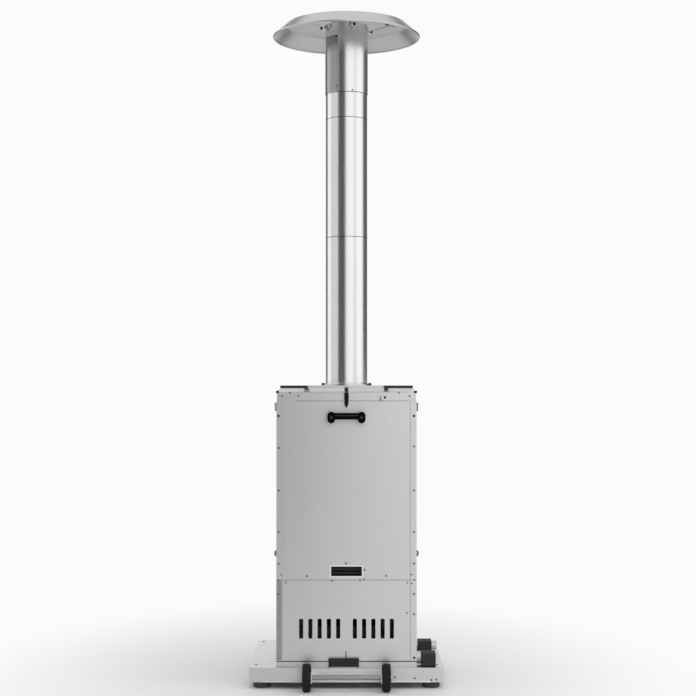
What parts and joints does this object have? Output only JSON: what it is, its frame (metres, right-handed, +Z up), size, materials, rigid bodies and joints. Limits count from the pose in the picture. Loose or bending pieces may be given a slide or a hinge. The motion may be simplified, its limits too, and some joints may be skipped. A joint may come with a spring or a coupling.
{
  "type": "pellet patio heater",
  "caption": "Free-standing stainless pellet patio heater: square cabinet on a wheeled tray, fill lids, fire door, ash drawer, tall round flue and a flared hat.",
  "frame": {"origin": "on the floor, under the middle of the whole heater's box", "axes": "+Z up, +X to the right seen from the wheel side, +Y away from the wheel side"},
  "size_m": [0.63, 0.642, 2.252],
  "materials": {
    "cabinet_steel": "brushed",
    "flue_steel": "bright brushed",
    "hardware_steel": "satin",
    "black_plastic": "matte",
    "black_steel": "satin",
    "foot_rubber": "matte",
    "pad_rubber": "matte",
    "tyre_rubber": "matte",
    "heat_steel": "matte",
    "pot_iron": "as cast"
  },
  "bodies": {
    "heater": {"base_tray": "cabinet_steel", "front_left_post": "cabinet_steel", "front_right_post": "cabinet_steel", "rear_left_post": "cabinet_steel", "rear_right_post": "cabinet_steel", "floor_plate": "cabinet_steel", "front_upper_panel": "cabinet_steel", "front_vent_panel": "cabinet_steel", "left_side_panel": "cabinet_steel", "right_side_panel": "cabinet_steel", "rear_panel": "cabinet_steel", "grip_bezel": "cabinet_steel", "cover_band": "cabinet_steel", "cover_lid": "cabinet_steel", "chimney_lower": "flue_steel", "chimney_middle": "flue_steel", "chimney_upper": "flue_steel", "chimney_head": "flue_steel", "hat": "flue_steel", "hat_straps": "flue_steel", "flue_riser": "flue_steel", "axle_bracket": "hardware_steel", "axle": "hardware_steel", "axle_spacer": "hardware_steel", "axle_caps": "hardware_steel", "bumper_bracket": "hardware_steel", "fill_hinges": "hardware_steel", "lift_handle_plates": "hardware_steel", "door_hinge_leaf": "hardware_steel", "door_hinge_pin": "hardware_steel", "air_collars": "hardware_steel", "left_hopper": "hardware_steel", "right_hopper": "hardware_steel", "tilt_handle": "black_plastic", "grip_cup": "black_plastic", "latch_base": "black_steel", "latch_keeper": "black_steel", "rubber_feet": "foot_rubber", "bumper_pad": "pad_rubber", "firebox": "heat_steel", "ash_chamber": "heat_steel", "burn_pot": "pot_iron"},
    "left_wheel": {"left_hub": "black_plastic", "left_tyre": "tyre_rubber"},
    "right_wheel": {"right_hub": "black_plastic", "right_tyre": "tyre_rubber"},
    "left_lid": {"left_fill_lid": "black_steel"},
    "right_lid": {"right_fill_lid": "black_steel"},
    "lever": {"latch_lever": "black_steel"},
    "bail": {"latch_bail": "black_steel"},
    "left_handle": {"left_handle_bail": "black_steel"},
    "right_handle": {"right_handle_bail": "black_steel"},
    "door": {"fire_door": "cabinet_steel", "door_pull": "black_plastic"},
    "drawer": {"ash_drawer": "cabinet_steel"},
    "front_air": {"front_air_lever": "black_plastic", "front_air_shaft": "hardware_steel"},
    "rear_air": {"rear_air_lever": "black_plastic", "rear_air_shaft": "hardware_steel"}
  },
  "joints": [
    {"name": "left_wheel_spin", "type": "hinge", "parent": "heater", "child": "left_wheel", "pos_m": [-0.1275, -0.277, 0.045], "axis": [1, 0, 0], "continuous": true},
    {"name": "right_wheel_spin", "type": "hinge", "parent": "heater", "child": "right_wheel", "pos_m": [0.1275, -0.277, 0.045], "axis": [1, 0, 0], "continuous": true},
    {"name": "left_lid_hinge", "type": "hinge", "parent": "heater", "child": "left_lid", "pos_m": [-0.173, 0.1055, 0.975], "axis": [-1, 0, 0], "range_deg": [0, 100]},
    {"name": "right_lid_hinge", "type": "hinge", "parent": "heater", "child": "right_lid", "pos_m": [0.173, 0.1055, 0.975], "axis": [-1, 0, 0], "range_deg": [0, 100]},
    {"name": "latch_lever_turn", "type": "hinge", "parent": "heater", "child": "lever", "pos_m": [0, -0.2185, 0.946], "axis": [-1, 0, 0], "range_deg": [0, 110]},
    {"name": "latch_bail_swing", "type": "hinge", "parent": "lever", "child": "bail", "pos_m": [0, -0.2185, 0.938], "axis": [-1, 0, 0], "range_deg": [-110, 0]},
    {"name": "left_handle_lift", "type": "hinge", "parent": "heater", "child": "left_handle", "pos_m": [-0.2375, 0.016, 0.917], "axis": [0, 1, 0], "range_deg": [0, 100]},
    {"name": "right_handle_lift", "type": "hinge", "parent": "heater", "child": "right_handle", "pos_m": [0.2375, 0.016, 0.917], "axis": [0, -1, 0], "range_deg": [0, 100]},
    {"name": "fire_door_hinge", "type": "hinge", "parent": "heater", "child": "door", "pos_m": [-0.1265, 0.252, 0.398], "axis": [0, 0, 1], "range_deg": [0, 115]},
    {"name": "ash_drawer_slide", "type": "slide", "parent": "heater", "child": "drawer", "axis": [0, 1, 0], "range_m": [0, 0.24]},
    {"name": "front_air_turn", "type": "hinge", "parent": "heater", "child": "front_air", "pos_m": [0.2655, -0.1715, 0.092], "axis": [-1, 0, 0], "range_deg": [0, 90]},
    {"name": "rear_air_turn", "type": "hinge", "parent": "heater", "child": "rear_air", "pos_m": [0.2655, 0.067, 0.092], "axis": [-1, 0, 0], "range_deg": [0, 90]}
  ],
  "couplings": [
    {"joint": "latch_bail_swing", "follows": "latch_lever_turn", "ratio": -1}
  ]
}
